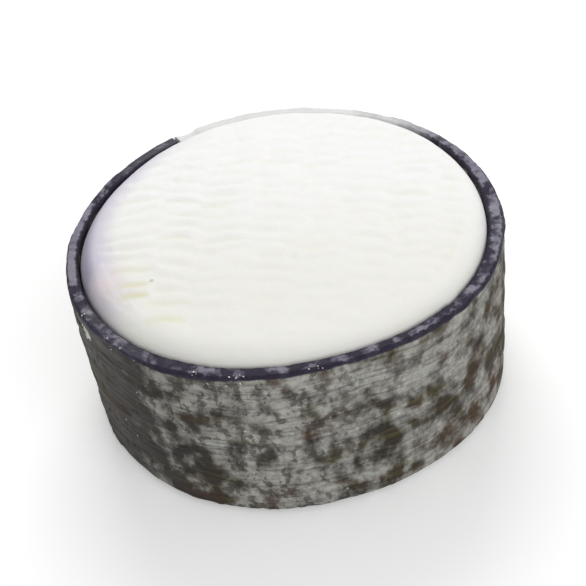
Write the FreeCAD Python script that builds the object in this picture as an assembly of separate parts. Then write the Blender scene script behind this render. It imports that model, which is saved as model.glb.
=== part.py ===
import FreeCAD, Part
import math
import os

# A small soft-ripened cheese wheel held in a band of spruce bark.
# Millimetres, +Z up.  The origin is on the floor, under the middle of the whole piece.
# X runs along the rows that the draining mat pressed into the wheel.

# ---- driving dimensions: the wheel -------------------------------------------------
wheel_diameter = 87.0          # mean width of the side
wheel_height = 45.0            # floor to the top of the crown
crown_rise = 1.3               # how far the crown stands over its own edge
crown_shift = (2.5, -1.5)      # where the crown's summit lies, off the middle
shoulder_radius = 5.5          # rounding from the crown to the side
foot_radius = 3.5              # rounding from the side to the underside
# The side isn't a true round: (height of the lobes, lobes round the wheel, angle of a peak).
side_lobes = ((0.50, 2, 20.0), (0.35, 3, 95.0), (0.18, 5, 40.0))

# ---- driving dimensions: the marks of the woven draining mat ------------------------
mat_pitch = 4.1                # from one row of marks to the next
mat_weave = 10.0               # from one cross cord of the mat to the next
mat_shift = -2.0               # the middle column of marks lies this far along X
mat_lean = 7.0                 # degrees: the twisted cords lean to one side and then the other
mark_length = 9.2              # a cord bows down to the cheese between two cross cords
shortest_mark = 3.0            # near the shoulder marks are cut short, but not below this
mat_cord_diameter = 3.0        # the cord that presses the mark
mark_depth = 0.45              # at the middle of a whole mark; a shorter one is shallower
mat_margin = 1.0               # from the marks to where the shoulder's rounding starts

# ---- driving dimensions: the bark band ----------------------------------------------
band_thickness = 2.9
band_foot = 1.2                # the strip's lower edge over the floor
band_head_drop = 4.0           # the strip's upper edge under the top of the crown
band_edge_radius = 0.7         # worn corners of the strip
# The strip isn't even: (size of the swing, waves round the wheel, angle of a peak).
band_thickness_wave = (0.45, 3, 235.0)
band_foot_wave = (0.35, 2, 37.5)
band_head_wave = (0.35, 3, 43.3)
joint_angle = 127.5            # where the strip's two square-cut ends meet

# ---- clearances ---------------------------------------------------------------------
band_clearance = 0.2           # between the wheel's side and the strip
joint_clearance = 0.6          # between the strip's two ends

# ---- how finely the uneven outlines are followed ------------------------------------
wheel_stations = 48
band_stations = 120
band_loft_degree = 8

# ---- sizes that follow ---------------------------------------------------------------
wheel_radius = wheel_diameter / 2
mat_reach = wheel_radius - shoulder_radius - mat_margin
crown_radius = (wheel_radius - shoulder_radius) ** 2 / (2 * crown_rise)
crown_centre = FreeCAD.Vector(crown_shift[0], crown_shift[1], wheel_height - crown_radius)
band_head = wheel_height - band_head_drop
joint_degrees = math.degrees(joint_clearance / (wheel_radius + band_clearance))
up = FreeCAD.Vector(0, 0, 1)


def polar(radius, angle, height):
    """Point at a radius and an angle in degrees round the wheel's axis."""
    turn = math.radians(angle)
    return FreeCAD.Vector(radius * math.cos(turn), radius * math.sin(turn), height)


def wave(swing, waves, peak, angle):
    """A swing that repeats round the wheel and has a peak at an angle."""
    return swing * math.cos(math.radians(waves * (angle - peak)))


# ---- what the wheel and the strip share ----------------------------------------------
def side_radius(angle):
    """Distance from the axis to the wheel's side, with its low lobes."""
    return wheel_radius + sum(wave(*lobe, angle) for lobe in side_lobes)


# ---- the wheel -----------------------------------------------------------------------
def wheel_outline():
    """Closed smooth curve round the wheel's side, on the floor."""
    points = []
    for station in range(wheel_stations):
        angle = 360.0 * station / wheel_stations
        points.append(polar(side_radius(angle), angle, 0))
    curve = Part.BSplineCurve()
    curve.interpolate(Points=points, PeriodicFlag=True)
    return Part.Wire([curve.toShape()])


def crown_height(x, y):
    """Height of the domed top over the floor."""
    away = math.hypot(x - crown_centre.x, y - crown_centre.y)
    return crown_centre.z + math.sqrt(crown_radius ** 2 - away ** 2)


def plain_wheel():
    """The wheel before the mat is pressed in: upright side, domed top, rounded rims."""
    block = Part.Face(wheel_outline()).extrude(up * (wheel_height + crown_rise))
    block = block.common(Part.makeSphere(crown_radius, crown_centre))
    middle = wheel_height / 2
    upper_rim = [edge for edge in block.Edges if edge.BoundBox.ZMin > middle]
    block = block.makeFillet(shoulder_radius, upper_rim)
    lower_rim = [edge for edge in block.Edges if edge.BoundBox.ZMax < foot_radius / 2]
    return block.makeFillet(foot_radius, lower_rim)


def mark_span(x, y):
    """(left, right) ends of a mark with its middle at x, cut short where the mat's reach ends."""
    if abs(y) >= mat_reach:
        return x, x
    reach = math.sqrt(mat_reach ** 2 - y ** 2)
    return max(x - mark_length / 2, -reach), min(x + mark_length / 2, reach)


def marks():
    """(x, y, length, lean) of each of the mat's marks, in rows along X.

    Every second column is half a row aside, as the weave lays its cords, and leans the other way.
    """
    columns = int(mat_reach // mat_weave) + 1
    rows = int(mat_reach // mat_pitch) + 1
    found = []
    for column in range(-columns, columns + 1):
        odd = column % 2
        for row in range(-rows, rows + 1):
            y = (row + 0.5 + 0.5 * odd) * mat_pitch
            left, right = mark_span(column * mat_weave + mat_shift, y)
            if right - left >= shortest_mark:
                found.append(((left + right) / 2, y, right - left, mat_lean if odd else -mat_lean))
    return found


def mat_cord(touch, outward, length, lean):
    """One bowed length of cord that presses a mark into a face where it would touch it.

    It lies along the face, square to the outward direction there, and ends between the end
    of its mark and the next cross cord, where it's clear of the face.
    """
    depth = mark_depth * length / mark_length
    bow_radius = length ** 2 / (8 * depth)
    cord_radius = mat_cord_diameter / 2
    half_length = length / 2 + (mat_weave - mark_length) / 4
    half_turn = math.degrees(math.asin(half_length / bow_radius))
    across = outward.cross(polar(1, lean, 0)).normalize()
    along = across.cross(outward)
    centre = touch + outward * (bow_radius - depth)
    lowest = centre - outward * (bow_radius - cord_radius)
    disc = Part.Face(Part.Wire(Part.makeCircle(cord_radius, lowest, along)))
    disc.rotate(centre, across, -half_turn)
    return disc.revolve(centre, across, 2 * half_turn)


def cheese_wheel():
    """The wheel with the mat's weave pressed into its top and its underside."""
    cords = []
    for x, y, length, lean in marks():
        crown_point = FreeCAD.Vector(x, y, crown_height(x, y))
        cords.append(mat_cord(crown_point, (crown_point - crown_centre).normalize(), length, lean))
        cords.append(mat_cord(FreeCAD.Vector(x, y, 0), -up, length, lean))
    return plain_wheel().cut(cords)


# ---- the bark band -------------------------------------------------------------------
def band_section(angle):
    """Upright rounded rectangle: the strip cut across at an angle."""
    inner = side_radius(angle) + band_clearance
    outer = inner + band_thickness + wave(*band_thickness_wave, angle)
    foot = band_foot + band_foot_wave[0] + wave(*band_foot_wave, angle)
    head = band_head + wave(*band_head_wave, angle)
    corner = band_edge_radius
    bulge = corner * (1 - math.sqrt(0.5))
    points = {
        "foot": (polar(inner + corner, angle, foot), polar(outer - corner, angle, foot)),
        "outside": (polar(outer, angle, foot + corner), polar(outer, angle, head - corner)),
        "head": (polar(outer - corner, angle, head), polar(inner + corner, angle, head)),
        "inside": (polar(inner, angle, head - corner), polar(inner, angle, foot + corner)),
    }
    corners = {
        "foot": polar(outer - bulge, angle, foot + bulge),
        "outside": polar(outer - bulge, angle, head - bulge),
        "head": polar(inner + bulge, angle, head - bulge),
        "inside": polar(inner + bulge, angle, foot + bulge),
    }
    names = list(points)
    edges = []
    for name, following in zip(names, names[1:] + names[:1]):
        start, end = points[name]
        edges.append(Part.LineSegment(start, end).toShape())
        edges.append(Part.Arc(end, corners[name], points[following][0]).toShape())
    return Part.Wire(edges)


def bark_band():
    """One strip of bark bent round the wheel until its two ends meet."""
    first = joint_angle + joint_degrees / 2
    length = 360.0 - joint_degrees
    sections = []
    for station in range(band_stations + 1):
        sections.append(band_section(first + length * station / band_stations))
    return Part.makeLoft(sections, True, False, False, band_loft_degree)


def main():
    os.makedirs("parts", exist_ok=True)
    pieces = {"cheese_wheel": cheese_wheel(), "bark_band": bark_band()}
    box = Part.makeCompound(list(pieces.values())).optimalBoundingBox()
    centre = FreeCAD.Vector(-box.Center.x, -box.Center.y, -box.ZMin)
    for name, shape in pieces.items():
        shape.translate(centre)
        solid = shape.Solids[0]
        print(name, "solids", len(shape.Solids), "valid", shape.isValid(), "volume", round(solid.Volume))
        solid.exportStep("parts/" + name + ".step")


main()
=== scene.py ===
# %% [markdown]
# # A small cheese in a band of bark
#
# The real thing is a soft-ripened cheese wheel about as wide as a hand. It has a white,
# velvety rind, low ribs on top where it drained on a woven mat, and a strip of spruce bark
# that holds its soft side up.
#
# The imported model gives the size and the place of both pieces. Here they get their skin:
# a finely divided mesh for each, so that ribs, fibres and chipped edges are real shape, and
# materials made of nodes. We could sculpt such forms by hand, but a script that works
# them out from sizes can be read, changed and run again with the same result.

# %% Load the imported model
import math
import random
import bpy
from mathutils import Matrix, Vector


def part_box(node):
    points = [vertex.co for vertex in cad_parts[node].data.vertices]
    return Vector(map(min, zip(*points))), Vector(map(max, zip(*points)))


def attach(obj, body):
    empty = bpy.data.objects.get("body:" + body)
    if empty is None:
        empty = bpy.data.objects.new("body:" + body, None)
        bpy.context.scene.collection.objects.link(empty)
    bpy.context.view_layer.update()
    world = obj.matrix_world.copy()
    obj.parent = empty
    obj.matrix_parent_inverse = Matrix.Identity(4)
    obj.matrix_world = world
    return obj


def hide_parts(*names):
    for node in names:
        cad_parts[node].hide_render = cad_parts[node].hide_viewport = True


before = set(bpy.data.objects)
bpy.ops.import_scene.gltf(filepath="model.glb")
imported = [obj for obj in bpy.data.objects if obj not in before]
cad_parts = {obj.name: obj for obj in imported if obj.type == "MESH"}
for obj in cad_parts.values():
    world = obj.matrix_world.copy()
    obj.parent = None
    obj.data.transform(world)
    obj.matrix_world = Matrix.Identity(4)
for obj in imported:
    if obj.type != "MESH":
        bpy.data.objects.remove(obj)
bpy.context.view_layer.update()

from types import SimpleNamespace

import bmesh
import bpy
import numpy as np
from mathutils import Quaternion, Vector, noise
from mathutils.bvhtree import BVHTree

MM = 0.001

# %% [markdown]
# ## The camera
#
# We start with the view, because it tells us how fine the shapes have to be. The cheese is
# seen from close by, looking down at its top, with the camera tilted a little to one side.
# Such a near view makes the front look larger than the back. In Blender the nearness is the
# camera's distance, and how much it takes in is its lens: a short distance keeps the near
# look, and a lens of the right length fills the picture.

# %% Camera
camera_azimuth = math.radians(8.0)       # the ribs then run down to the right
camera_elevation = math.radians(41.0)
camera_roll = math.radians(-8.2)         # upright things lean to the left
camera_distance = 280 * MM
aim = Vector((0.0, 0.0, 21 * MM))        # half-way up the cheese

back = Vector((
    math.sin(camera_azimuth) * math.cos(camera_elevation),
    -math.cos(camera_azimuth) * math.cos(camera_elevation),
    math.sin(camera_elevation),
))
camera = bpy.data.objects.new("camera", bpy.data.cameras.new("camera"))
bpy.context.scene.collection.objects.link(camera)
camera.data.lens = 76.0
camera.data.clip_start = 10 * MM
camera.location = aim + back * camera_distance
camera.rotation_mode = "QUATERNION"
camera.rotation_quaternion = (-back).to_track_quat("-Z", "Y") @ Quaternion((0, 0, 1), camera_roll)
bpy.context.scene.camera = camera
print("camera at, mm:", [round(part / MM) for part in camera.location])

# %% [markdown]
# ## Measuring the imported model
#
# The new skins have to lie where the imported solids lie. We could copy the sizes into this
# file, but then a change to the model would leave the skins behind. A ray is better: Blender's
# `BVHTree` says where a straight line meets a mesh, so a line from the wheel's axis outwards
# finds the side, and each face of the strip, at any angle.

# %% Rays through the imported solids
def tree_of(mesh):
    """A search tree of a mesh, which finds where rays meet it."""
    corners = [vertex.co for vertex in mesh.vertices]
    return BVHTree.FromPolygons(corners, [face.vertices for face in mesh.polygons])


def crossings(tree, start, direction):
    """How far along a ray it meets each surface, nearest first."""
    step = 1e-6             # past a surface, so that the ray doesn't meet it again
    found = []
    travelled = 0.0
    place = Vector(start)
    while True:
        place, normal, face, distance = tree.ray_cast(place, direction)
        if place is None:
            return found
        travelled += distance
        found.append(travelled)
        place = place + direction * step
        travelled += step


def outward(degrees):
    """Level direction at an angle round the wheel's axis."""
    return Vector((math.cos(math.radians(degrees)), math.sin(math.radians(degrees)), 0))


wheel_tree = tree_of(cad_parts["cheese_wheel"].data)
strip_tree = tree_of(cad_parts["bark_band"].data)
wheel_low, wheel_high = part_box("cheese_wheel")
strip_low, strip_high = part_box("bark_band")
middle = Vector((0, 0, (strip_low.z + strip_high.z) / 2))
wheel_height = (wheel_high.z - wheel_low.z) / MM
print("wheel height, mm:", round(wheel_height, 2))

# %% [markdown]
# ## Small helpers for shape
#
# Food is never quite even, so nearly every size below gets a little noise. NumPy could draw
# random numbers, but neighbours would then have nothing in common. Blender's `mathutils.noise`
# is a smooth field that is the same on every run, and one helper scales it, so that a call
# reads as "bumps about this large". Lengths are in millimetres from here on, because 43 is
# easier to think about than 0.043.

# %% Noise, steps and meshes
seed_step = np.array((17.3, -9.1, 4.7))     # each seed looks at another part of the noise
noise_gain = 1.6                            # brings the noise up to about -1 to 1


def swell(x, y, z, size, seed):
    """Smooth noise, about -1 to 1, with bumps about one size across, for rows of points."""
    x, y, z = np.broadcast_arrays(np.asarray(x, float), y, z)
    places = np.column_stack([x.ravel(), y.ravel(), z.ravel()]) / size + seed * seed_step
    return noise_gain * np.reshape([noise.noise(place) for place in places.tolist()], x.shape)


def smooth_step(share):
    """0 to 1 with level ends."""
    share = np.clip(share, 0.0, 1.0)
    return share * share * (3 - 2 * share)


def make_piece(name, corners, faces, values):
    """A smooth mesh object from millimetres, with named values stored on its corners."""
    mesh = bpy.data.meshes.new(name)
    mesh.from_pydata((np.asarray(corners) * MM).tolist(), [], faces)
    mesh.shade_smooth()
    for value_name, numbers in values.items():
        layer = mesh.attributes.new(value_name, "FLOAT", "POINT")
        layer.data.foreach_set("value", np.asarray(numbers, np.float32))
    piece = bpy.data.objects.new(name, mesh)
    bpy.context.scene.collection.objects.link(piece)
    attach(piece, "root")
    print(name, "corners", len(corners), "triangles", sum(len(face) - 2 for face in faces))
    return piece


# %% [markdown]
# ## The wheel's outline
#
# The wheel isn't a true round. We measure its side at each degree, half-way up, and let
# `np.interp` fill in between. Its top and rims follow simple rules, so those stay formulas:
# a shallow dome that is highest a little off the middle, and quarter circles at the rims.

# %% Outline of the wheel
shoulder = 5.5              # rounding of the upper rim
foot = 3.5                  # rounding of the lower rim
crown_rise = 1.3            # the dome over its own edge
crown_middle = (2.5, -1.5)  # where the dome is highest


def calm(numbers, width):
    """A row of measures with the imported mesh's facets smoothed away."""
    padded = np.pad(numbers, width, mode="edge")
    return np.convolve(padded, np.ones(2 * width + 1) / (2 * width + 1), "valid")


turns = np.arange(0, 360, 1.0)
side_line = np.array([crossings(wheel_tree, middle, outward(turn))[0] for turn in turns]) / MM
side_line = calm(side_line, 1)


def side_radius(degrees):
    """Distance from the axis to the wheel's side."""
    return np.interp(degrees, turns, side_line, period=360)


def crown_height(x, y):
    """Height of the plain dome."""
    away = np.hypot(x - crown_middle[0], y - crown_middle[1])
    return wheel_height - crown_rise * (away / (side_line.mean() - shoulder)) ** 2


print("side radius, mm:", side_line.min().round(2), "to", side_line.max().round(2))

# %% [markdown]
# ## Marks of the draining mat
#
# The young cheese drains on a woven mat. Where a cord of the mat bows down between two cross
# cords it presses a short, lens-shaped valley, and the soft curd stands up beside it as a low
# rib. Every second column of valleys is half a row aside and leans the other way.
# A picture used as a height map would blur at close range. A table of marks, each with its
# own place, length, bow and depth, stays sharp, and lets each rib differ from the next.

# %% Lay the mat
mat_pitch = 4.1             # from one row to the next
mat_weave = 10.0            # from one column to the next
mat_shift = (-2.0, -0.8)    # where the middle of the mat lies
mark_length = 9.8
mark_lean = math.tan(math.radians(7.0))
mat_reach = 41.5            # the marks end here, a little way down the shoulder
outer_run = 6.0             # the outermost columns run on so much further outwards
columns = np.arange(-3, 5)
rows = np.arange(-12, 13)


def lay_mat():
    """A table of marks by column and row: middle, half length, lean, bow and depth of each."""
    draw = np.random.default_rng(7)
    column, row = np.meshgrid(columns, rows, indexing="ij")
    odd = column % 2
    x = column * mat_weave + mat_shift[0]
    y = (row + 0.5 + 0.5 * odd) * mat_pitch + mat_shift[1] + draw.uniform(-0.5, 0.5, row.shape)
    reach = np.sqrt(np.maximum(mat_reach ** 2 - y ** 2, 0))
    left = x - mark_length / 2 + draw.uniform(-1.3, 0.9, x.shape) - outer_run * (column == columns[0])
    right = x + mark_length / 2 + draw.uniform(-0.9, 1.3, x.shape) + outer_run * (column == columns[-1])
    left, right = np.maximum(left, -reach), np.minimum(right, reach)
    lean = np.where(odd, mark_lean, -mark_lean) + draw.uniform(-0.07, 0.07, x.shape)
    return {
        "x": (left + right) / 2, "y": y + lean * ((left + right) / 2 - x),
        "half": np.maximum((right - left) / 2, 0.01), "lean": lean,
        "bow": draw.uniform(-0.6, 0.2, x.shape), "depth": draw.uniform(0.5, 1.1, x.shape),
        "swollen": draw.uniform(0, 1, x.shape) ** 5,
    }


mat = lay_mat()
print("marks:", int((mat["half"] > 1).sum()))

# %% [markdown]
# A point of the top takes its shape from the marks of the nearest two columns and three rows.
# Before we look them up, the point is shifted by slow noise. That bends the straight
# rows into the wavy ones of a cheese that has slumped, and is called warping the domain. The
# cheese lay heaviest on one side, so the marks are crisp at the left and nearly gone at the
# back and the front. A few are stained, where whey stood in them, and pass that on as well.

# %% Press the mat into a face
valley_width = 0.95         # half width of a pressed valley
valley_depth = 0.33
rib_width = 1.1
rib_height = 0.17
heavy_spot = (-30, -4)      # the mat pressed hardest about here
heavy_reach = (13, 20)
# Stains of single marks: (column, row) and how strong each is.
stained_marks = {(-3, -7): 0.95, (-3, -6): 0.8, (-3, -5): 0.35, (-2, -7): 0.3, (-2, -8): 0.5}
stains = np.zeros(mat["x"].shape)
for (column, row), strength in stained_marks.items():
    stains[column - columns[0], row - rows[0]] = strength


def mat_weight(x, y):
    """How hard the mat pressed, 0 to 1: most at the left, least at the back and the front."""
    left = np.exp(-((x - heavy_spot[0]) / heavy_reach[0]) ** 2 - ((y - heavy_spot[1]) / heavy_reach[1]) ** 2)
    patches = 0.58 + 0.25 * swell(x, y, 0, 13, 4)
    ends = smooth_step((y + 36) / 16) * smooth_step((36 - y) / 18)
    return np.clip(left + patches * (0.25 + 0.75 * ends), 0.05, 1)


def press_mat(x, y):
    """(relief in mm, hollow 0 to 1, stain 0 to 1) of the mat at rows of points."""
    warp_x = x + 0.9 * swell(x, y, 0, 14, 1) + 0.5 * swell(x, y, 0, 5, 5)
    warp_y = y + 0.8 * swell(x, y, 0, 11, 2) + 0.26 * swell(x, y, 0, 4, 3)
    nearest = (warp_x - mat_shift[0]) / mat_weave
    hollow, rib, stain = np.zeros(x.shape), np.zeros(x.shape), np.zeros(x.shape)
    for column in (np.floor(nearest).astype(int), np.ceil(nearest).astype(int)):
        column = np.clip(column, columns[0], columns[-1])
        lean = np.where(column % 2, mark_lean, -mark_lean) * (warp_x - mat_shift[0] - column * mat_weave)
        row_place = (warp_y - mat_shift[1] - lean) / mat_pitch - 0.5 - 0.5 * (column % 2)
        near_row = np.round(row_place).astype(int)
        for neighbour in (-1, 0, 1):
            row = np.clip(near_row + neighbour, rows[0], rows[-1])
            mark = {name: table[column - columns[0], row - rows[0]] for name, table in mat.items()}
            along = (warp_x - mark["x"]) / mark["half"]
            lens = np.clip(1 - along ** 2, 0, 1) ** 0.6
            across = warp_y - mark["y"] - mark["lean"] * (warp_x - mark["x"]) - mark["bow"] * along ** 2
            valley = np.exp(-(across / (valley_width * (0.55 + 0.45 * lens))) ** 2) * lens
            hollow = np.maximum(hollow, mark["depth"] * valley)
            beside = np.exp(-((np.abs(across) - mat_pitch / 2) / rib_width) ** 2)
            rib = np.maximum(rib, beside * lens * (0.7 + 1.6 * mark["swollen"]))
            stain = np.maximum(stain, stains[column - columns[0], row - rows[0]] * valley)
    weight = smooth_step((mat_reach + 0.8 - np.hypot(x, y)) / 4.0) * mat_weight(x, y)
    return weight * (rib_height * rib - valley_depth * hollow), weight * hollow, stain


probe_x, probe_y = np.meshgrid(np.arange(-30, 30, 0.5), np.arange(-30, 30, 0.5))
probe = press_mat(probe_x, probe_y)[0]
print("mat relief, mm:", probe.min().round(2), "to", probe.max().round(2))

# %% [markdown]
# ## Unevenness of the rind
#
# Over the mat's pattern lie slow swells of the whole top, lumps of a few millimetres and
# grains of about one. Here and there is a dimple where a bubble of whey sat. On the left
# shoulder runs a faint crease, where the rind folded as the cheese was turned. Displace
# modifiers could add the noise, but a function for each kind can be added up with the mat's.

# %% Swells, dimples and the crease
crease_radius = 40.6
crease_from, crease_to = 184.0, 232.0
crease_depth = 0.13
crease_width = 0.55
dimples = 26


def unevenness(x, y, z):
    """Slow swells, lumps and grains of the rind, in millimetres."""
    swells = 0.26 * swell(x, y, z, 24, 11)
    lumps = 0.10 * swell(x, y, z, 6.5, 12) + 0.09 * swell(x / 2.2, y, z, 3.0, 13)
    grains = 0.028 * swell(x, y, z, 1.7, 14) + 0.014 * swell(x, y, z, 0.9, 15)
    return swells + lumps + grains


def dents(x, y):
    """Small soft dimples scattered over the top."""
    draw = np.random.default_rng(19)
    depth = np.zeros(x.shape)
    for turn, out, size, deep in zip(draw.uniform(0, 2 * math.pi, dimples), draw.uniform(0, 1, dimples),
                                     draw.uniform(0.7, 2.0, dimples), draw.uniform(0.08, 0.24, dimples)):
        away = np.hypot(x - mat_reach * math.sqrt(out) * math.cos(turn),
                        y - mat_reach * math.sqrt(out) * math.sin(turn))
        depth = np.maximum(depth, deep * np.exp(-(away / size) ** 4))
    return depth


def crease(radius, degrees):
    """A thin fold in the rind on the left shoulder."""
    share = np.clip((degrees - crease_from) / (crease_to - crease_from), 0, 1)
    off = radius - crease_radius - 0.5 * np.sin(3 * share) - 0.3 * swell(degrees / 10, 0, 0, 1, 16)
    return crease_depth * np.sin(math.pi * share) * np.exp(-(off / crease_width) ** 2)


# %% [markdown]
# ## A mesh of rings
#
# The wheel is one closed mesh of rings, from the middle of the top to the middle of the
# underside. A grid would be simpler to make, but it leaves a stepped rim. A ring near the
# middle needs fewer corners than one at the rim, or its faces become slivers, so the number of
# corners is halved each time the ring's size halves. Faces between two rings are quads, and
# where the number changes, two outer edges meet one inner edge with a triangle and a quad.

# %% Faces between rings
def ring_faces(first, first_count, second, second_count):
    """Faces between two rings; the numbers are where each ring's corners start."""
    if first_count == second_count:
        afters = [(k + 1) % first_count for k in range(first_count)]
        return [(first + k, second + k, second + after, first + after) for k, after in enumerate(afters)]
    outwards = first_count < second_count
    coarse, fine = (first, second) if outwards else (second, first)
    count = min(first_count, second_count)
    faces = []
    for k in range(count):
        left, centre, right = [fine + (2 * k + n) % (2 * count) for n in range(3)]
        faces.append((coarse + k, left, centre))
        faces.append((coarse + k, centre, right, coarse + (k + 1) % count))
    return faces if outwards else [(face[0], *reversed(face[1:])) for face in faces]


def join_rings(rings, first_point, last_point):
    """One closed mesh from rings of corners and two poles: its corners and faces."""
    corners = np.concatenate([[first_point], *rings, [last_point]])
    starts = np.cumsum([1] + [len(ring) for ring in rings])
    count = len(rings[0])
    faces = [(0, 1 + k, 1 + (k + 1) % count) for k in range(count)]
    for k in range(len(rings) - 1):
        faces += ring_faces(int(starts[k]), len(rings[k]), int(starts[k + 1]), len(rings[k + 1]))
    count = len(rings[-1])
    last_start = int(starts[-2])
    faces += [(len(corners) - 1, last_start + (k + 1) % count, last_start + k) for k in range(count)]
    return corners, faces


# %% [markdown]
# ## The wheel's skin
#
# Each zone of the wheel has its own rule for a ring: the top lies on the dome, the
# shoulder and the foot turn through a quarter circle, the side is upright and hidden, and the
# underside is flat, because the cheese rests on it. There the mat's marks are only
# hollows, so that nothing reaches through the floor. Hidden rings are kept few.

# %% Rings of the wheel
rim_count = 768
top_rings = 112
shoulder_rings = 24
side_rings = 5
foot_rings = 9
under_rings = 46
print("rings of the wheel:", top_rings + shoulder_rings + side_rings + foot_rings + under_rings)


def ring_turns(share, full):
    """Angles of a ring's corners: half as many each time its size halves."""
    count = full
    while share <= 0.5 and count > 6:
        count //= 2
        share *= 2
    return np.arange(count) * 360 / count


def on_ring(degrees, radius):
    """x and y of points at angles and a radius."""
    return radius * np.cos(np.radians(degrees)), radius * np.sin(np.radians(degrees))


def top_ring(share):
    degrees = ring_turns(share, rim_count)
    x, y = on_ring(degrees, share * (side_radius(degrees) - shoulder))
    z = crown_height(x, y) + press_mat(x, y)[0] + unevenness(x, y, wheel_height) - dents(x, y)
    return np.column_stack([x, y, z])


def shoulder_ring(turn):
    degrees = ring_turns(1, rim_count)
    bend = turn * math.pi / 2
    edge_x, edge_y = on_ring(degrees, side_radius(degrees) - shoulder)
    radius = side_radius(degrees) - shoulder * (1 - math.sin(bend))
    x, y = on_ring(degrees, radius)
    z = crown_height(edge_x, edge_y) - shoulder * (1 - math.cos(bend))
    rough = unevenness(x, y, z) - crease(radius, degrees) + (1 - turn) * press_mat(x, y)[0]
    return np.column_stack([x, y, z + rough * math.cos(bend)])


def side_ring(share):
    degrees = ring_turns(1, rim_count // 2)
    x, y = on_ring(degrees, side_radius(degrees))
    upper = wheel_height - crown_rise - shoulder
    return np.column_stack([x, y, np.full(x.shape, upper + (foot - upper) * share)])


def foot_ring(turn):
    degrees = ring_turns(1, rim_count // 2)
    bend = turn * math.pi / 2
    x, y = on_ring(degrees, side_radius(degrees) - foot * (1 - math.sin(bend)))
    return np.column_stack([x, y, np.full(x.shape, foot * (1 - math.cos(bend)))])


def under_ring(share):
    degrees = ring_turns(share, rim_count // 2)
    x, y = on_ring(degrees, share * (side_radius(degrees) - foot))
    return np.column_stack([x, y, valley_depth * press_mat(x, y)[1]])


# %% Join the rings into the wheel
rings = [top_ring(k / top_rings) for k in range(1, top_rings + 1)]
rings += [shoulder_ring(k / shoulder_rings) for k in range(1, shoulder_rings + 1)]
rings += [side_ring(k / side_rings) for k in range(1, side_rings)]
rings += [foot_ring(1 - k / foot_rings) for k in range(foot_rings + 1)]
rings += [under_ring(1 - k / under_rings) for k in range(1, under_rings)]
corners, faces = join_rings(rings, (0, 0, rings[0][:, 2].mean()), (0, 0, 0))
hollow, stain = press_mat(corners[:, 0], corners[:, 1])[1:]
up = corners[:, 2]
near_face = (up > wheel_height - 3) | (up < 1)      # the mat marks the top and the underside only
above = up > wheel_height / 2
wheel = make_piece("rind_wheel", corners, faces, {"hollow": hollow * near_face, "stain": stain * above})
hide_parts("cheese_wheel")

# %% [markdown]
# ## The strip's path
#
# The strip of bark goes once round the wheel, and its two ends meet at the back left with a
# thin gap between them. At most angles a ray from the axis meets it twice, at its inner and
# its outer face. In the gap it meets nothing. So the rays tell us where both ends lie, and
# we can follow the strip from its dark end all the way round to its pale one.

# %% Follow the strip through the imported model
scan_step = 0.05            # degrees: fine enough to find the thin gap
scan = np.arange(0, 360, scan_step)
bare = [degrees for degrees in scan if not crossings(strip_tree, middle, outward(degrees))]
end_margin = 0.1            # degrees: the rays stay this far off the cut ends
dark_end = max(bare) + end_margin
pale_end = min(bare) - end_margin + 360
stations = 680
facet_width = 5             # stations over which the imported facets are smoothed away
strip_turns = np.linspace(dark_end, pale_end, stations)


def strip_faces(degrees):
    """(inner radius, outer radius) of the strip at an angle."""
    inner, outer = crossings(strip_tree, middle, outward(degrees))
    return inner / MM, outer / MM


def strip_edges(degrees, radius):
    """(foot, head): heights of the strip's lower and upper edge at an angle and a radius."""
    start = outward(degrees) * radius * MM + middle
    rise = crossings(strip_tree, start, Vector((0, 0, 1)))[0]
    fall = crossings(strip_tree, start, Vector((0, 0, -1)))[0]
    return (start.z - fall) / MM, (start.z + rise) / MM


radii = np.array([strip_faces(degrees) for degrees in strip_turns])
edges = np.array([strip_edges(d, r.mean()) for d, r in zip(strip_turns, radii)])
inner_face, outer_face = [calm(line, facet_width) for line in radii.T]
foot_edge, head_edge = [calm(line, facet_width) for line in edges.T]
steps = np.radians(np.diff(strip_turns)) * (inner_face + outer_face)[1:] / 2
strip_run = np.concatenate([[0], np.cumsum(steps)])
strip_length = float(strip_run[-1])
strip_height = float(head_edge.mean() - foot_edge.mean())
print("strip from", round(dark_end, 1), "to", round(pale_end, 1), "degrees")
print("strip length and height, mm:", round(strip_length), round(strip_height, 1))

# %% [markdown]
# ## The strip's section
#
# Across, the strip is a rounded rectangle. A neat way to write one down is as a small
# rectangle grown by the corner's radius: each point has a place on the small rectangle and a
# direction to grow in. The same direction also tells us which way the bark's roughness pushes
# that point. Along the strip we repeat this outline at each station. The ends are closed by
# drawing the outline in towards its middle, so that a cut end can be rough as well.

# %% Outline of the strip's section
worn_corner = 0.75
face_rows = 88              # rows of points up the outer face
inner_rows = 22
edge_rows = 6
bend_rows = 4


def quarter(start):
    """Directions round a quarter turn, without its ends."""
    bends = start + np.arange(1, bend_rows + 1) / (bend_rows + 1) * math.pi / 2
    return np.column_stack([np.cos(bends), np.sin(bends)])


def section_outline():
    """Rows of (across, up, grow across, grow up) round the strip's section."""
    rows = [(1, k / face_rows, 1, 0) for k in range(face_rows + 1)]
    rows += [(1, 1, x, y) for x, y in quarter(0)]
    rows += [(1 - k / edge_rows, 1, 0, 1) for k in range(edge_rows + 1)]
    rows += [(0, 1, x, y) for x, y in quarter(math.pi / 2)]
    rows += [(0, 1 - k / inner_rows, -1, 0) for k in range(inner_rows + 1)]
    rows += [(0, 0, x, y) for x, y in quarter(math.pi)]
    rows += [(k / edge_rows, 0, 0, -1) for k in range(edge_rows + 1)]
    rows += [(1, 0, x, y) for x, y in quarter(1.5 * math.pi)]
    return np.array(rows, float)


outline = section_outline()
print("points in the strip's section:", len(outline))

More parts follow.
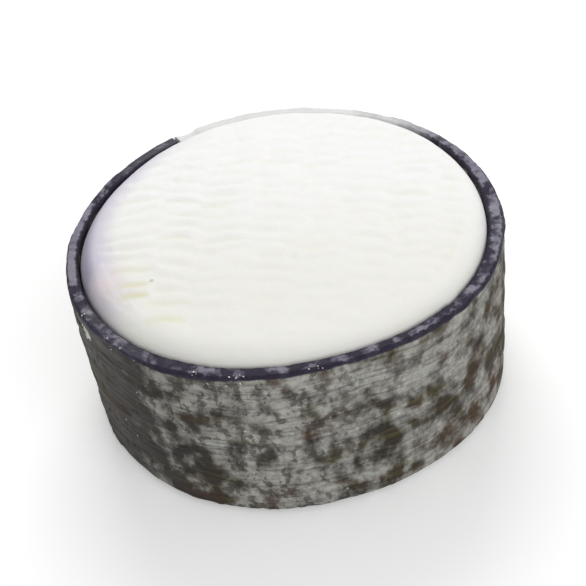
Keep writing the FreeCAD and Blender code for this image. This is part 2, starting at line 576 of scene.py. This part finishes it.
# %% [markdown]
# ## Bark relief
#
# A band like this is the soft inner bark of a spruce, peeled and scraped. Fibres run along
# it, with fine ridges between them. Where the scraper left more, thin flakes stand out,
# and in places the fibres have split. Noise becomes fibres when it is stretched: many millimetres
# long and less than one high. The fibres aren't quite straight, so we first bend the height
# at which a point looks up its fibre, and store that height for the material, whose fine
# fibres then bend the same way. The edges were cut with a knife and have since frayed.

# %% Relief of the strip
smooth_end = 0.45           # the dark end was scraped smoothest
rough_from = 45.0           # from here on the bark has its full roughness
inner_share = 0.35          # the inner face is smoother
deepest = 0.5               # no relief goes further out or in


def roughness_along(run, least):
    """How rough the bark is, up to 1, so many millimetres from its dark end."""
    return least + (1 - least) * smooth_step(run / rough_from)


def grain_height(run, height):
    """The height of a point counted across the bent fibres."""
    return height + 1.3 * swell(run, height / 2, 0, 21, 51) + 0.45 * swell(run, height, 0, 7, 52)


def bark_relief(run, height, side):
    """How far points stand out, in millimetres, from their place along and up the strip."""
    grain = grain_height(run, height)
    ridges = 0.10 * swell(run / 11, grain, side, 1.15, 21) + 0.05 * swell(run / 7, grain, side, 0.6, 22)
    blisters = 0.10 * swell(run / 1.7, height, side, 4.5, 23)
    waves = 0.17 * swell(run / 1.3, height / 2, side, 14, 24)
    patch = smooth_step(swell(run, height, side, 11, 27) * 2)
    wrinkles = 0.10 * patch * swell(run, height / 5, side, 1.3, 25)
    flakes = 0.17 * smooth_step((swell(run / 3.2, grain, side, 3.6, 28) - 0.12) / 0.16)
    splits = -0.26 * smooth_step(1 - np.abs(swell(run / 9, grain, side, 2.6, 26)) * 8) * smooth_step(
        swell(run / 2, height, side, 8, 29) * 2)
    return ridges + blisters + waves + wrinkles + flakes + splits - 0.08


def edge_chips(run, seed):
    """How much is missing from an edge, in millimetres, at places along the strip."""
    frayed = 0.09 * (1 + swell(run, 0, 0, 2.4, seed)) + 0.05 * swell(run, 0, 0, 0.8, seed + 1)
    bites = np.maximum(0, swell(run, 0, 0, 6.0, seed + 2) - 0.6)
    return np.maximum(0, frayed) + 0.9 * bites


def section_points(k, shrink=1.0):
    """Corners of the section at station k, drawn in towards its middle by shrink."""
    across, up, grow_across, grow_up = outline.T
    across = 0.5 + (across - 0.5) * shrink
    corner = worn_corner * shrink
    turn = math.radians(strip_turns[k])
    run = strip_run[k]
    head, low, thick = head_line[k], foot_line[k], outer_face[k] - inner_face[k]
    radius = inner_face[k] + worn_corner + across * (thick - 2 * worn_corner) + corner * grow_across
    height = low + worn_corner + up * (head - low - 2 * worn_corner) + corner * grow_up
    side = 3.0 * across
    push = bark_relief(run, height, side) * roughness_along(run, smooth_end)
    push = np.where(across > 0.5, push, inner_share * push - 0.03)
    push = np.clip(push, -deepest, deepest) * shrink
    radius = radius + push * grow_across
    height = height + 0.7 * push * grow_up
    points = np.column_stack([radius * math.cos(turn), radius * math.sin(turn), height])
    return points, {
        "run": np.full(len(outline), run), "up": (height - low) / (head - low),
        "across": (radius - inner_face[k]) / thick, "grain": grain_height(run, height)}


head_line = head_edge - edge_chips(strip_run, 31) * roughness_along(strip_run, 0.3)
foot_line = foot_edge + edge_chips(strip_run, 41)
probe = bark_relief(np.arange(0, 100, 0.5), 20.0, 3.0)
print("bark relief, mm:", probe.min().round(2), "to", probe.max().round(2))

# %% Join the strip's sections
cut_steps = (0.82, 0.6, 0.35, 0.12)    # a cut face's sections, as shares of the full size


def cut_face(k, direction):
    """Sections that close an end: drawn in step by step, and rough like split wood."""
    found = []
    for step, shrink in enumerate(cut_steps):
        points, values = section_points(k, shrink)
        up = points[:, 2]
        rough = 0.22 * swell(up, step * 0.7, k, 1.1, 61) + 0.12 * swell(up, step, k, 0.4, 62)
        turn = math.radians(strip_turns[k])
        shift = direction * np.minimum(0, rough - 0.05)
        points[:, 0] -= shift * math.sin(turn)
        points[:, 1] += shift * math.cos(turn)
        found.append((points, values))
    return found


def tube_faces(sections, columns):
    """Quads between the sections of a tube, and one narrow face over each end."""
    faces = []
    for k in range(sections - 1):
        for n in range(columns):
            after = (n + 1) % columns
            here, there = k * columns, (k + 1) * columns
            faces.append((here + n, there + n, there + after, here + after))
    faces.append(tuple(range(columns)))
    faces.append(tuple(reversed(range((sections - 1) * columns, sections * columns))))
    return faces


sections = list(reversed(cut_face(0, -1))) + [section_points(k) for k in range(stations)]
sections += cut_face(stations - 1, 1)
corners = np.concatenate([points for points, values in sections])
values = {name: np.concatenate([part[name] for points, part in sections]) for name in sections[0][1]}
strip = make_piece("bark_strip", corners, tube_faces(len(sections), len(outline)), values)
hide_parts("bark_band")

# %% [markdown]
# ## Crumbs of mould
#
# On the front left of the strip sit small crumbs of white mould, and one larger lump, which is
# a heap of them. They are true solids, not paint, because they catch the light at the edge.
# Each is a small ball, pushed in and out by noise and pressed flat on the bark. To set them on
# the rough strip we again use rays, now cast at the new skin: each ray gives a point and the
# direction in which the surface faces there.

# %% Rays at the strip's skin, and one crumb
def ball():
    """Corners and faces of a small even ball."""
    build = bmesh.new()
    bmesh.ops.create_icosphere(build, subdivisions=2, radius=1.0)
    corners = np.array([vertex.co[:] for vertex in build.verts])
    faces = [[vertex.index for vertex in face.verts] for face in build.faces]
    build.free()
    return corners, faces


strip_skin = tree_of(strip.data)
ball_corners, ball_faces = ball()
crumb_draw = random.Random(5)
ray_start = 80 * MM         # rays at the strip start this far out, or this high up


def direction_at(along):
    """Level direction to a place so many degrees along the strip from its dark end."""
    return outward(dark_end + along)


def outer_face_hit(along, height):
    """Point and facing of the strip's outer face at a height in mm."""
    direction = direction_at(along)
    start = direction * ray_start + Vector((0, 0, height * MM))
    return strip_skin.ray_cast(start, -direction)[:2]


def top_edge_hit(along, across):
    """Point and facing of the strip's top edge, across from 0 inside to 1 outside."""
    radius = np.interp(dark_end + along, strip_turns, inner_face + across * (outer_face - inner_face))
    start = direction_at(along) * float(radius) * MM + Vector((0, 0, ray_start))
    return strip_skin.ray_cast(start, Vector((0, 0, -1)))[:2]


def crumb(hit, smallest, largest, flat):
    """Corners, in millimetres, of one more crumb, pressed on the surface where a ray hit."""
    point, normal = hit
    size = crumb_draw.uniform(smallest, largest)
    shape = ball_corners * (1 + 0.38 * swell(*ball_corners.T, 0.8, len(crumbs))[:, None])
    shape = shape * (size, size * crumb_draw.uniform(0.45, 1.0), size * flat)
    spin = Quaternion((0, 0, 1), crumb_draw.uniform(0, 6.28))
    turn = np.array((normal.to_track_quat("Z", "Y") @ spin).to_matrix())
    return shape @ turn.T + np.array(point) / MM


# %% Set crumbs on the strip
# Groups of crumbs on the edge: (degrees along the strip, spread in degrees, how many).
edge_groups = ((86, 1.5, 3), (97, 2.0, 4), (123, 0.8, 7), (133.5, 1.0, 8), (150, 2.5, 4))
face_crumbs = 30
face_top, face_reach = 40.0, 14.0   # crumbs on the face lie most thickly near its top
lump_crumbs = 44
lump_along, lump_height, lump_spread = 85.0, 36.2, 0.75

crumbs = []
for along, spread, count in edge_groups:
    for k in range(count):
        hit = top_edge_hit(crumb_draw.gauss(along, spread), crumb_draw.uniform(0.72, 0.97))
        crumbs.append(crumb(hit, 0.07, 0.24, 0.35))
for k in range(face_crumbs):
    along = crumb_draw.triangular(80, 160, 125)
    hit = outer_face_hit(along, face_top - face_reach * crumb_draw.random() ** 2)
    crumbs.append(crumb(hit, 0.06, 0.19, 0.45))
for k in range(lump_crumbs):
    along = crumb_draw.gauss(lump_along, lump_spread)
    hit = outer_face_hit(along, crumb_draw.gauss(lump_height, lump_spread))
    crumbs.append(crumb(hit, 0.25, 0.75, 0.5))
corners = np.concatenate(crumbs)
faces = [[n + k * len(ball_corners) for n in face] for k in range(len(crumbs)) for face in ball_faces]
mould = make_piece("mould_crumbs", corners, faces, {})

# %% [markdown]
# ## Node helpers
#
# Materials are graphs of nodes. Made with bare API calls they are long to read, so one small
# class adds a node, sets its inputs and links it, in one line each. An input that is given a
# socket is linked, and one that is given a number or a colour is set.

# %% A short way to write nodes
class Graph:
    """Adds nodes to a tree and wires them."""

    def __init__(self, tree):
        self.tree = tree

    def give(self, socket, value):
        """Link a socket to another, or set it to a value."""
        if isinstance(value, bpy.types.NodeSocket):
            self.tree.links.new(value, socket)
        else:
            socket.default_value = value

    def add(self, kind, inputs=(), **settings):
        """A node of a kind, with settings, and inputs by name or number."""
        node = self.tree.nodes.new(kind)
        for name, value in settings.items():
            setattr(node, name, value)
        for name, value in dict(inputs).items():
            self.give(node.inputs[name], value)
        return node

    def math(self, operation, first, second=0.0, clamp=False):
        """The result of one sum."""
        node = self.add("ShaderNodeMath", {0: first, 1: second}, operation=operation, use_clamp=clamp)
        return node.outputs[0]

    def times(self, first, second, clamp=False):
        return self.math("MULTIPLY", first, second, clamp)

    def plus(self, first, second, clamp=False):
        return self.math("ADD", first, second, clamp)

    def minus(self, first, second):
        return self.math("SUBTRACT", first, second)

    def span(self, value, low, high, new_low=0.0, new_high=1.0):
        """A value carried from one range to another, with soft ends."""
        inputs = {"Value": value, "From Min": low, "From Max": high, "To Min": new_low, "To Max": new_high}
        return self.add("ShaderNodeMapRange", inputs, interpolation_type="SMOOTHSTEP").outputs["Result"]

    def mix(self, share, first, second):
        """Two colours mixed."""
        inputs = {0: share, 6: first, 7: second}
        return self.add("ShaderNodeMix", inputs, data_type="RGBA").outputs[2]

    def levels(self, value, stops):
        """A value turned into another by stops of (place, level)."""
        node = self.add("ShaderNodeValToRGB", {0: value})
        marks = node.color_ramp.elements
        while len(marks) < len(stops):
            marks.new(0.5)
        for mark, (place, level) in zip(marks, stops):
            mark.position = place
            mark.color = (level, level, level, 1.0)
        return node.outputs[0]

    def noise(self, place, scale, detail, roughness=0.5):
        """Smooth noise about a place, 0 to 1."""
        inputs = {"Vector": place, "Scale": scale, "Detail": detail, "Roughness": roughness}
        return self.add("ShaderNodeTexNoise", inputs).outputs["Fac"]

    def value_of(self, name):
        """A value stored on the mesh."""
        return self.add("ShaderNodeAttribute", attribute_name=name).outputs["Fac"]

    def place(self, x, y, z=0.0):
        """A point from three values."""
        return self.add("ShaderNodeCombineXYZ", {"X": x, "Y": y, "Z": z}).outputs[0]

    def parts(self, place):
        """The X, Y and Z of a point."""
        return self.add("ShaderNodeSeparateXYZ", {0: place}).outputs

    def size(self, place):
        """How far a point is from nought."""
        return self.add("ShaderNodeVectorMath", {0: place}, operation="LENGTH").outputs["Value"]


def paint(red, green, blue):
    """A colour as it is read off a screen, 0 to 255, as the linear colour that nodes use."""
    parts = [part / 255 for part in (red, green, blue)]
    return (*[part / 12.92 if part <= 0.04045 else ((part + 0.055) / 1.055) ** 2.4 for part in parts], 1.0)


print("white in linear light:", round(paint(247, 247, 247)[0], 3))

# %% [markdown]
# ## Groups shared by the materials
#
# Some effects occur in more than one material, so each is a node group, built once and
# placed in a material with its own sizes. *Blotches* is uneven cover, for mould and
# stains. *Specks* are small round spots. *Velvet* is the height of the short nap of mould,
# for a Bump node. *Compass* says where a point lies, in millimetres. The groups put out only
# masks, heights and points, and each material decides what they mean.

# %% An empty group
def new_group(name, inputs, outputs):
    """A group with inputs by name and default, where None stands for a point, and outputs."""
    tree = bpy.data.node_groups.new(name, "ShaderNodeTree")
    for socket_name, default in inputs.items():
        kind = "NodeSocketVector" if default is None else "NodeSocketFloat"
        socket = tree.interface.new_socket(socket_name, in_out="INPUT", socket_type=kind)
        if default is not None:
            socket.default_value = default
    for socket_name, kind in outputs.items():
        tree.interface.new_socket(socket_name, in_out="OUTPUT", socket_type="NodeSocket" + kind)
    graph = Graph(tree)
    return graph, graph.add("NodeGroupInput").outputs, graph.add("NodeGroupOutput").inputs


# %% Blotches and specks
def blotches_group():
    """Uneven cover, 0 to 1, as large patches broken up by small ones."""
    graph, given, result = new_group(
        "blotches", {"Place": None, "Size": 5.0, "Cover": 0.5, "Softness": 0.2}, {"Mask": "Float"})
    patches = graph.noise(given["Place"], graph.math("DIVIDE", 1.0, given["Size"]), 5.0, 0.55)
    spread = graph.span(patches, 0.25, 0.75)
    bare = graph.minus(1.0, given["Cover"])
    low = graph.minus(bare, given["Softness"])
    high = graph.plus(bare, given["Softness"])
    graph.give(result["Mask"], graph.span(spread, low, high))
    return graph.tree


def specks_group():
    """Small round spots, 0 to 1, of uneven size; Share is how many places have one."""
    graph, given, result = new_group(
        "specks", {"Place": None, "Spacing": 2.0, "Share": 0.3, "Radius": 0.3}, {"Mask": "Float"})
    scale = graph.math("DIVIDE", 1.0, given["Spacing"])
    cells = graph.add("ShaderNodeTexVoronoi", {"Vector": given["Place"], "Scale": scale})
    chance = graph.add("ShaderNodeSeparateColor", {0: cells.outputs["Color"]}).outputs
    present = graph.math("LESS_THAN", chance[0], given["Share"])
    radius = graph.times(given["Radius"], graph.span(chance[1], 0.0, 1.0, 0.4, 1.0))
    dot = graph.span(cells.outputs["Distance"], radius, graph.times(radius, 0.4))
    graph.give(result["Mask"], graph.times(present, dot))
    return graph.tree


# %% Velvet and compass
def velvet_group():
    """Height of a fine nap: soft tufts with short hairs on them."""
    graph, given, result = new_group("velvet", {"Place": None, "Tuft": 0.9}, {"Height": "Float"})
    scale = graph.math("DIVIDE", 1.0, given["Tuft"])
    tufts = graph.noise(given["Place"], scale, 3.0, 0.6)
    hairs = graph.noise(given["Place"], graph.times(scale, 5.0), 2.0)
    graph.give(result["Height"], graph.plus(tufts, graph.times(hairs, 0.35)))
    return graph.tree


def compass_group():
    """The point itself and its distance from the axis, in millimetres."""
    graph, given, result = new_group("compass", {}, {"Radius": "Float", "Place": "Vector"})
    spot = graph.add("ShaderNodeTexCoord").outputs["Object"]
    place = graph.add("ShaderNodeVectorMath", {0: spot, "Scale": 1 / MM}, operation="SCALE").outputs[0]
    parts = graph.parts(place)
    graph.give(result["Radius"], graph.size(graph.place(parts["X"], parts["Y"])))
    graph.give(result["Place"], place)
    return graph.tree


blotches, specks, velvet, compass = blotches_group(), specks_group(), velvet_group(), compass_group()
print("groups:", [group.name for group in bpy.data.node_groups])


# %% Helpers for materials
def new_material(name, roughness, specular):
    """A material's graph, its shader, and the object that holds it."""
    material = bpy.data.materials.new(name)
    material.use_nodes = True
    shader = material.node_tree.nodes["Principled BSDF"]
    shader.inputs["Roughness"].default_value = roughness
    shader.inputs["Specular IOR Level"].default_value = specular
    return material, Graph(material.node_tree), shader


def use_group(graph, tree, **inputs):
    """The outputs of a group placed in a material with its own values."""
    node = graph.add("ShaderNodeGroup", node_tree=tree)
    for name, value in inputs.items():
        graph.give(node.inputs[name], value)
    return node.outputs


def blotch(graph, place, size, cover, softness):
    """The mask of blotches of a size, which cover a share of the surface."""
    return use_group(graph, blotches, Place=place, Size=size, Cover=cover, Softness=softness)["Mask"]


def around(graph, place, spot, size, softness):
    """A soft round mask about a point of the cheese, in millimetres."""
    away = graph.add("ShaderNodeVectorMath", {0: place, 1: spot}, operation="DISTANCE").outputs["Value"]
    return graph.span(away, size + softness, size - softness)


def bend_light(graph, shader, height, strength, depth):
    """Relief too fine for the mesh, so many millimetres deep, by a Bump node."""
    bump = graph.add("ShaderNodeBump", {"Height": height, "Strength": strength, "Distance": depth * MM})
    graph.give(shader.inputs["Normal"], bump.outputs["Normal"])


# %% [markdown]
# ## Rind
#
# The rind is a skin of white mould, dry and velvety, over pale paste. It is nearly white but
# not even: the valleys of the mat show more of the creamy paste, a few of them have turned
# ochre, the front of the top is a little greyer with painted shade, and the left shoulder has
# a lilac cast that is partly its own tint and partly painted shade, with a band of painted
# shade beside the bark.
# Mould scatters light like felt, which the shader's sheen gives, and a little light enters
# the paste, which is its subsurface. Both are the same all over, so they are set on the
# shader's own sockets.

# %% Rind colours
white_bloom = paint(248, 248, 247)
# painted shade: the front of the top gets a greyer, warmer white than the back
front_shade_bloom = paint(240, 239, 233)
creamy = paint(237, 237, 226)
ochre = paint(223, 221, 184)
# The lilac is partly the rind's own tint and partly painted shade; the colour after it is painted shade in
# the gap beside the bark.
lilac = paint(213, 207, 221)
gap_shade = paint(150, 144, 162)
blush = paint(236, 221, 219)
grey_speck = paint(200, 201, 198)


def bloom_colour(graph, place):
    """White, greyer and warmer towards the front as painted shade, creamy where the mould is thin, ochre
    where stained.
    """
    colour = graph.mix(graph.span(graph.parts(place)["Y"], 20.0, -30.0), white_bloom, front_shade_bloom)
    patchy = blotch(graph, place, 2.2, 0.42, 0.4)
    worn = graph.span(blotch(graph, place, 11.0, 0.5, 0.4), 0.0, 1.0, 0.35, 0.85)
    thin = graph.plus(graph.value_of("hollow"), graph.times(patchy, 0.3))
    colour = graph.mix(graph.times(thin, worn, clamp=True), colour, creamy)
    return graph.mix(graph.value_of("stain"), colour, ochre)


def shoulder_tint_and_shade(graph, place, radius, colour):
    """A broad lilac cast on the left shoulder, partly its own tint and partly painted shade, and a narrow
    band of painted shade beside the bark.
    """
    tint = blotch(graph, place, 9.0, 0.85, 0.3)
    left = graph.times(around(graph, place, (-43.0, 4.0, 41.0), 29.0, 12.0),
                       graph.span(tint, 0.0, 1.0, 0.7, 1.0))
    colour = graph.mix(graph.times(left, graph.span(radius, 35.0, 41.0)), colour, lilac)
    # painted shade: a narrow darker band where the rind meets the bark
    beside = graph.span(graph.plus(radius, graph.times(tint, -0.4)), 39.8, 42.9)
    return graph.mix(graph.times(left, beside), colour, gap_shade)


def small_spots(graph, place, colour):
    """A pinkish patch beside the stains, one grey speck, and a few faint pinholes."""
    pinkish = around(graph, place, (-35.5, -20.0, 43.5), 3.5, 3.5)
    colour = graph.mix(graph.times(pinkish, 0.5), colour, blush)
    speck = around(graph, place, (-25.6, -20.2, 44.0), 0.42, 0.3)
    pinholes = use_group(graph, specks, Place=place, Spacing=3.1, Share=0.03, Radius=0.11)["Mask"]
    return graph.mix(graph.math("MAXIMUM", speck, graph.times(pinholes, 0.5)), colour, grey_speck)


# %% Rind material
def rind_material():
    material, graph, shader = new_material("rind", 0.85, 0.2)
    where = use_group(graph, compass)
    place = where["Place"]
    colour = shoulder_tint_and_shade(graph, place, where["Radius"], bloom_colour(graph, place))
    graph.give(shader.inputs["Base Color"], small_spots(graph, place, colour))
    nap = use_group(graph, velvet, Place=place, Tuft=0.8)["Height"]
    bend_light(graph, shader, nap, 0.35, 0.12)
    shader.inputs["Sheen Weight"].default_value = 0.15
    shader.inputs["Sheen Roughness"].default_value = 0.6
    shader.inputs["Subsurface Weight"].default_value = 0.1
    shader.inputs["Subsurface Scale"].default_value = 1.0 * MM
    return material


wheel.data.materials.append(rind_material())
print("rind nodes:", len(wheel.data.materials[0].node_tree.nodes))

# %% [markdown]
# ## Bark
#
# Damp bark is dark brown with olive and reddish streaks along the grain, and its colours here
# are darker still with painted shade. Mould changes it from place to place. At the left it is
# nearly bare, at the front left damp and darkest with painted shade, at the front mottled grey
# with mould, and at its pale end overgrown with white. On the cut upper edge mould fills the
# middle, and both corners are darkened with painted shade, so the edge reads as a lilac-grey
# stripe between two black lines. The mesh carries how far along, up and across the strip each
# point lies, and ramps say how much of each finish there is along the strip.
# They are stirred with noise first, so that no change of finish is a straight line.

# %% Bark colours
# The brown, olive and black below are darker than the bark itself, with painted shade in them; the black
# stands for damp and painted shade together.
bark_brown = paint(52, 45, 35)
bark_olive = paint(82, 75, 52)
damp_and_shade_black = paint(30, 27, 26)
bark_red = paint(78, 52, 40)
grey_mould = paint(152, 151, 144)
pale_mould = paint(212, 212, 207)
spot_grey = paint(78, 76, 70)
edge_lilac = paint(126, 121, 137)
edge_black_and_shade = paint(39, 35, 50)
edge_grey = paint(154, 151, 160)
edge_white = paint(229, 229, 228)

# Finishes along the strip: (degrees from its dark end, amount).
# The damp amounts, highest at the front left, also give painted shade there.
damp_and_shade_along = [(0, 0.5), (30, 0.3), (60, 0.25), (80, 0.55), (95, 0.85), (115, 0.8), (135, 0.5),
             (220, 0.4), (345, 0.1)]
red_along = [(0, 0.1), (85, 0.1), (105, 0.45), (118, 0.5), (130, 0.15), (190, 0.3), (240, 0.5), (345, 0.1)]
mould_along = [(0, 0.15), (55, 0.18), (65, 0.06), (102, 0.08), (113, 0.4), (124, 0.66), (175, 0.62),
               (220, 0.45), (265, 0.48), (300, 0.75), (325, 1.0)]
spots_along = [(0, 0.3), (110, 0.8), (145, 0.8), (175, 0.35), (280, 0.3), (310, 0.0)]
pale_along = [(0, 0.1), (105, 0.1), (135, 0.35), (215, 0.3), (270, 0.5), (310, 1.0)]
edge_black_along = [(0, 1.0), (26, 0.9), (38, 0.2), (64, 0.2), (74, 0.75), (88, 0.75), (96, 0.6),
                    (106, 0.95), (120, 0.9), (134, 0.75), (170, 0.6), (215, 0.6), (265, 0.35), (300, 0.0)]
edge_white_along = [(0, 0.0), (268, 0.0), (305, 1.0)]


def amount(graph, at, stops):
    """An amount read off a list of stops along the strip."""
    return graph.levels(at.along, [(degrees / 360, level) for degrees, level in stops])


# %% Where a point lies on the bark, and its fibres
def bark_point(graph):
    """What the finishes need to know about a point of the strip."""
    at = SimpleNamespace(place=use_group(graph, compass)["Place"])
    at.run, at.up, at.across = [graph.value_of(name) for name in ("run", "up", "across")]
    grain = graph.value_of("grain")
    stir = graph.times(graph.minus(graph.noise(at.place, 0.16, 4.0), 0.5), 0.11)
    at.along = graph.plus(graph.math("DIVIDE", at.run, strip_length), stir)
    at.grain_place = graph.place(graph.math("DIVIDE", at.run, 14.0), grain, at.across)
    at.fibres = graph.noise(at.grain_place, 1.3, 7.0, 0.68)
    hair_place = graph.place(graph.math("DIVIDE", at.run, 22.0), grain, at.across)
    at.hairs = graph.noise(hair_place, 4.2, 3.0, 0.6)
    at.upright = graph.place(at.run, graph.times(at.up, strip_height / 1.3), at.across)
    at.dust = blotch(graph, at.upright, 1.1, 0.5, 0.4)
    return at


def bare_bark(graph, at):
    """Fibres with reddish streaks, and damp darkening that is partly painted shade: the colour, and where it
    is damp and shaded.
    """
    colour = graph.mix(graph.span(at.fibres, 0.38, 0.68), bark_brown, bark_olive)
    red = blotch(graph, at.place, 14.0, amount(graph, at, red_along), 0.35)
    colour = graph.mix(graph.times(red, 0.8), colour, bark_red)
    damp_and_shade = blotch(graph, at.grain_place, 2.6, amount(graph, at, damp_and_shade_along), 0.35)
    colour = graph.mix(graph.times(damp_and_shade, 0.85), colour, damp_and_shade_black)
    colour = graph.mix(graph.span(at.hairs, 0.48, 0.30), colour, graph.mix(0.6, colour, damp_and_shade_black))
    return colour, damp_and_shade


# %% Mould on the bark, and the cut edge
def mould_cover(graph, at):
    """How thickly mould grows: patches drawn out up the strip, in drifts, thinner at its foot."""
    level = amount(graph, at, mould_along)
    cover = graph.times(level, graph.span(at.up, 0.2, 0.85, 0.72, 1.0))
    drift = blotch(graph, at.place, 13.0, 0.5, 0.5)
    cover = graph.plus(cover, graph.span(drift, 0.0, 1.0, -0.17, 0.17))
    grown = blotch(graph, at.upright, 4.5, cover, 0.40)
    return graph.times(grown, graph.span(level, 0.0, 0.35, 0.1, 1.0))


def mould_colour(graph, at):
    """Grey to white, with darker spots inside."""
    paleness = graph.times(at.dust, amount(graph, at, pale_along))
    paleness = graph.plus(paleness, graph.span(at.along, 0.76, 0.88, 0.0, 0.75), clamp=True)
    colour = graph.mix(paleness, grey_mould, pale_mould)
    spots = blotch(graph, at.upright, 1.9, 0.32, 0.12)
    return graph.mix(graph.times(spots, amount(graph, at, spots_along)), colour, spot_grey)


def edge_colour(graph, at):
    """The cut edge: painted shade along both corners, black blotches, a lilac-grey middle, white towards the
    pale end.
    """
    rim = graph.plus(at.across, graph.times(graph.minus(at.dust, 0.5), 0.12))
    # painted shade: both corners of the edge are darkened to black
    corner_shade = graph.plus(graph.span(rim, 0.30, 0.14), graph.span(rim, 0.78, 0.90), clamp=True)
    colour = graph.mix(graph.times(at.dust, 0.5), edge_lilac, edge_grey)
    black = blotch(graph, at.place, 3.0, amount(graph, at, edge_black_along), 0.28)
    colour = graph.mix(graph.times(black, 0.93), colour, edge_black_and_shade)
    colour = graph.mix(graph.times(corner_shade, 0.92), colour, edge_black_and_shade)
    return graph.mix(amount(graph, at, edge_white_along), colour, edge_white)


# %% Bark material
def bark_material():
    material, graph, shader = new_material("bark", 0.78, 0.2)
    at = bark_point(graph)
    bare, damp_and_shade = bare_bark(graph, at)
    grown = mould_cover(graph, at)
    film = graph.times(grown, graph.span(at.fibres, 0.34, 0.54, 0.45, 0.95))
    face = graph.mix(film, bare, mould_colour(graph, at))
    colonies = use_group(graph, specks, Place=at.place, Spacing=2.3, Share=0.10, Radius=0.16)["Mask"]
    face = graph.mix(graph.times(colonies, 0.6), face, pale_mould)
    colour = graph.mix(graph.span(at.up, 0.962, 0.978), face, edge_colour(graph, at))
    graph.give(shader.inputs["Base Color"], colour)

    # Fibres stand out where the bark is bare, and a soft nap where mould grows.
    nap = use_group(graph, velvet, Place=at.place, Tuft=0.6)["Height"]
    threads = graph.plus(at.fibres, graph.times(at.hairs, 0.6))
    bend_light(graph, shader, graph.plus(graph.times(nap, graph.times(grown, 0.7)), threads), 0.7, 0.25)
    gloss = graph.minus(damp_and_shade, grown)
    graph.give(shader.inputs["Roughness"], graph.span(gloss, 0.0, 1.0, 0.85, 0.52))
    return material


strip.data.materials.append(bark_material())
print("bark nodes:", len(strip.data.materials[0].node_tree.nodes))


# %% [markdown]
# ## Crumbs and their mould
#
# The crumbs are dense mould, a little greyer than the rind and quite dull. They could share
# the rind's material, but its stains and casts belong to places on the wheel, so a small
# material of their own, made with the same groups, is simpler.

# %% Mould material
crumb_grey = paint(184, 184, 178)
crumb_white = paint(220, 220, 215)


def mould_material():
    material, graph, shader = new_material("mould", 0.9, 0.15)
    place = use_group(graph, compass)["Place"]
    dust = blotch(graph, place, 0.7, 0.5, 0.4)
    graph.give(shader.inputs["Base Color"], graph.mix(dust, crumb_grey, crumb_white))
    bend_light(graph, shader, use_group(graph, velvet, Place=place, Tuft=0.25)["Height"], 0.6, 0.08)
    return material


mould.data.materials.append(mould_material())

# %% [markdown]
# ## Floor and light
#
# A plain pale floor takes the shadow. The light is a bright, even room with a soft lamp high
# behind the cheese, so that the back of the top is brightest and the shoulder turns into
# shade, and a larger, softer one at the front right. A panorama of a room could light it too,
# but a lamp's place and power can be read here and changed. A pale thing is easily
# overexposed, so the lamps are kept at a level where a colour renders as it is written. The
# white of the ground comes from its own material, which adds a little light where the camera
# looks at it, and more far out, where the lamps don't reach.

# %% Stage
def area_lamp(name, place, size, power, tint):
    """A soft square lamp that points at the cheese."""
    print(name, "lamp, watts:", power)
    lamp = bpy.data.objects.new(name, bpy.data.lights.new(name, "AREA"))
    lamp.data.size = size
    lamp.data.energy = power
    lamp.data.color = tint
    lamp.location = place
    lamp.rotation_mode = "QUATERNION"
    lamp.rotation_quaternion = (aim - Vector(place)).to_track_quat("-Z", "Y")
    bpy.context.scene.collection.objects.link(lamp)


def what_is_seen(graph):
    """1 on rays that show a thing to the camera, directly, in a gloss or through glass."""
    rays = graph.add("ShaderNodeLightPath").outputs
    seen = graph.math("MAXIMUM", rays["Is Camera Ray"], rays["Is Glossy Ray"])
    return graph.math("MAXIMUM", seen, rays["Is Transmission Ray"])


floor_half = 3.0            # metres from the middle to the floor's edge
floor_lift = (0.20, 0.55)   # what the ground adds to its own light where it is seen: near and far
lamps_reach = (0.35, 1.1)   # metres over which the lamps' light on the ground fades
floor_mesh = bpy.data.meshes.new("floor")
floor_corners = [(x * floor_half, y * floor_half, 0) for x, y in ((-1, -1), (1, -1), (1, 1), (-1, 1))]
floor_mesh.from_pydata(floor_corners, [], [(0, 1, 2, 3)])
floor = bpy.data.objects.new("floor", floor_mesh)
bpy.context.scene.collection.objects.link(floor)
floor_material, floor_graph, floor_shader = new_material("floor", 0.9, 0.1)
floor_shader.inputs["Base Color"].default_value = paint(247, 247, 247)
floor_shader.inputs["Emission Color"].default_value = (1, 1, 1, 1)
away = floor_graph.size(floor_graph.add("ShaderNodeTexCoord").outputs["Object"])
lift = floor_graph.span(away, *lamps_reach, *floor_lift)
lift = floor_graph.times(what_is_seen(floor_graph), lift)
floor_graph.give(floor_shader.inputs["Emission Strength"], lift)
floor_mesh.materials.append(floor_material)

area_lamp("key", (-0.04, 0.42, 0.46), 0.36, 1.75, (1.0, 1.0, 0.99))
area_lamp("fill", (0.32, -0.52, 0.40), 0.60, 2.1, (0.98, 0.99, 1.0))

world = bpy.data.worlds.new("room")
bpy.context.scene.world = world
world.use_nodes = True
room = Graph(world.node_tree)
sky = world.node_tree.nodes["Background"]
room_light = 0.50           # how strongly the room lights things; where it is seen it is 1, white
extra = room.times(what_is_seen(room), 1 - room_light)
room.give(sky.inputs["Strength"], room.plus(extra, room_light))
sky.inputs["Color"].default_value = (1, 1, 1, 1)
bpy.context.scene.view_settings.view_transform = "Standard"
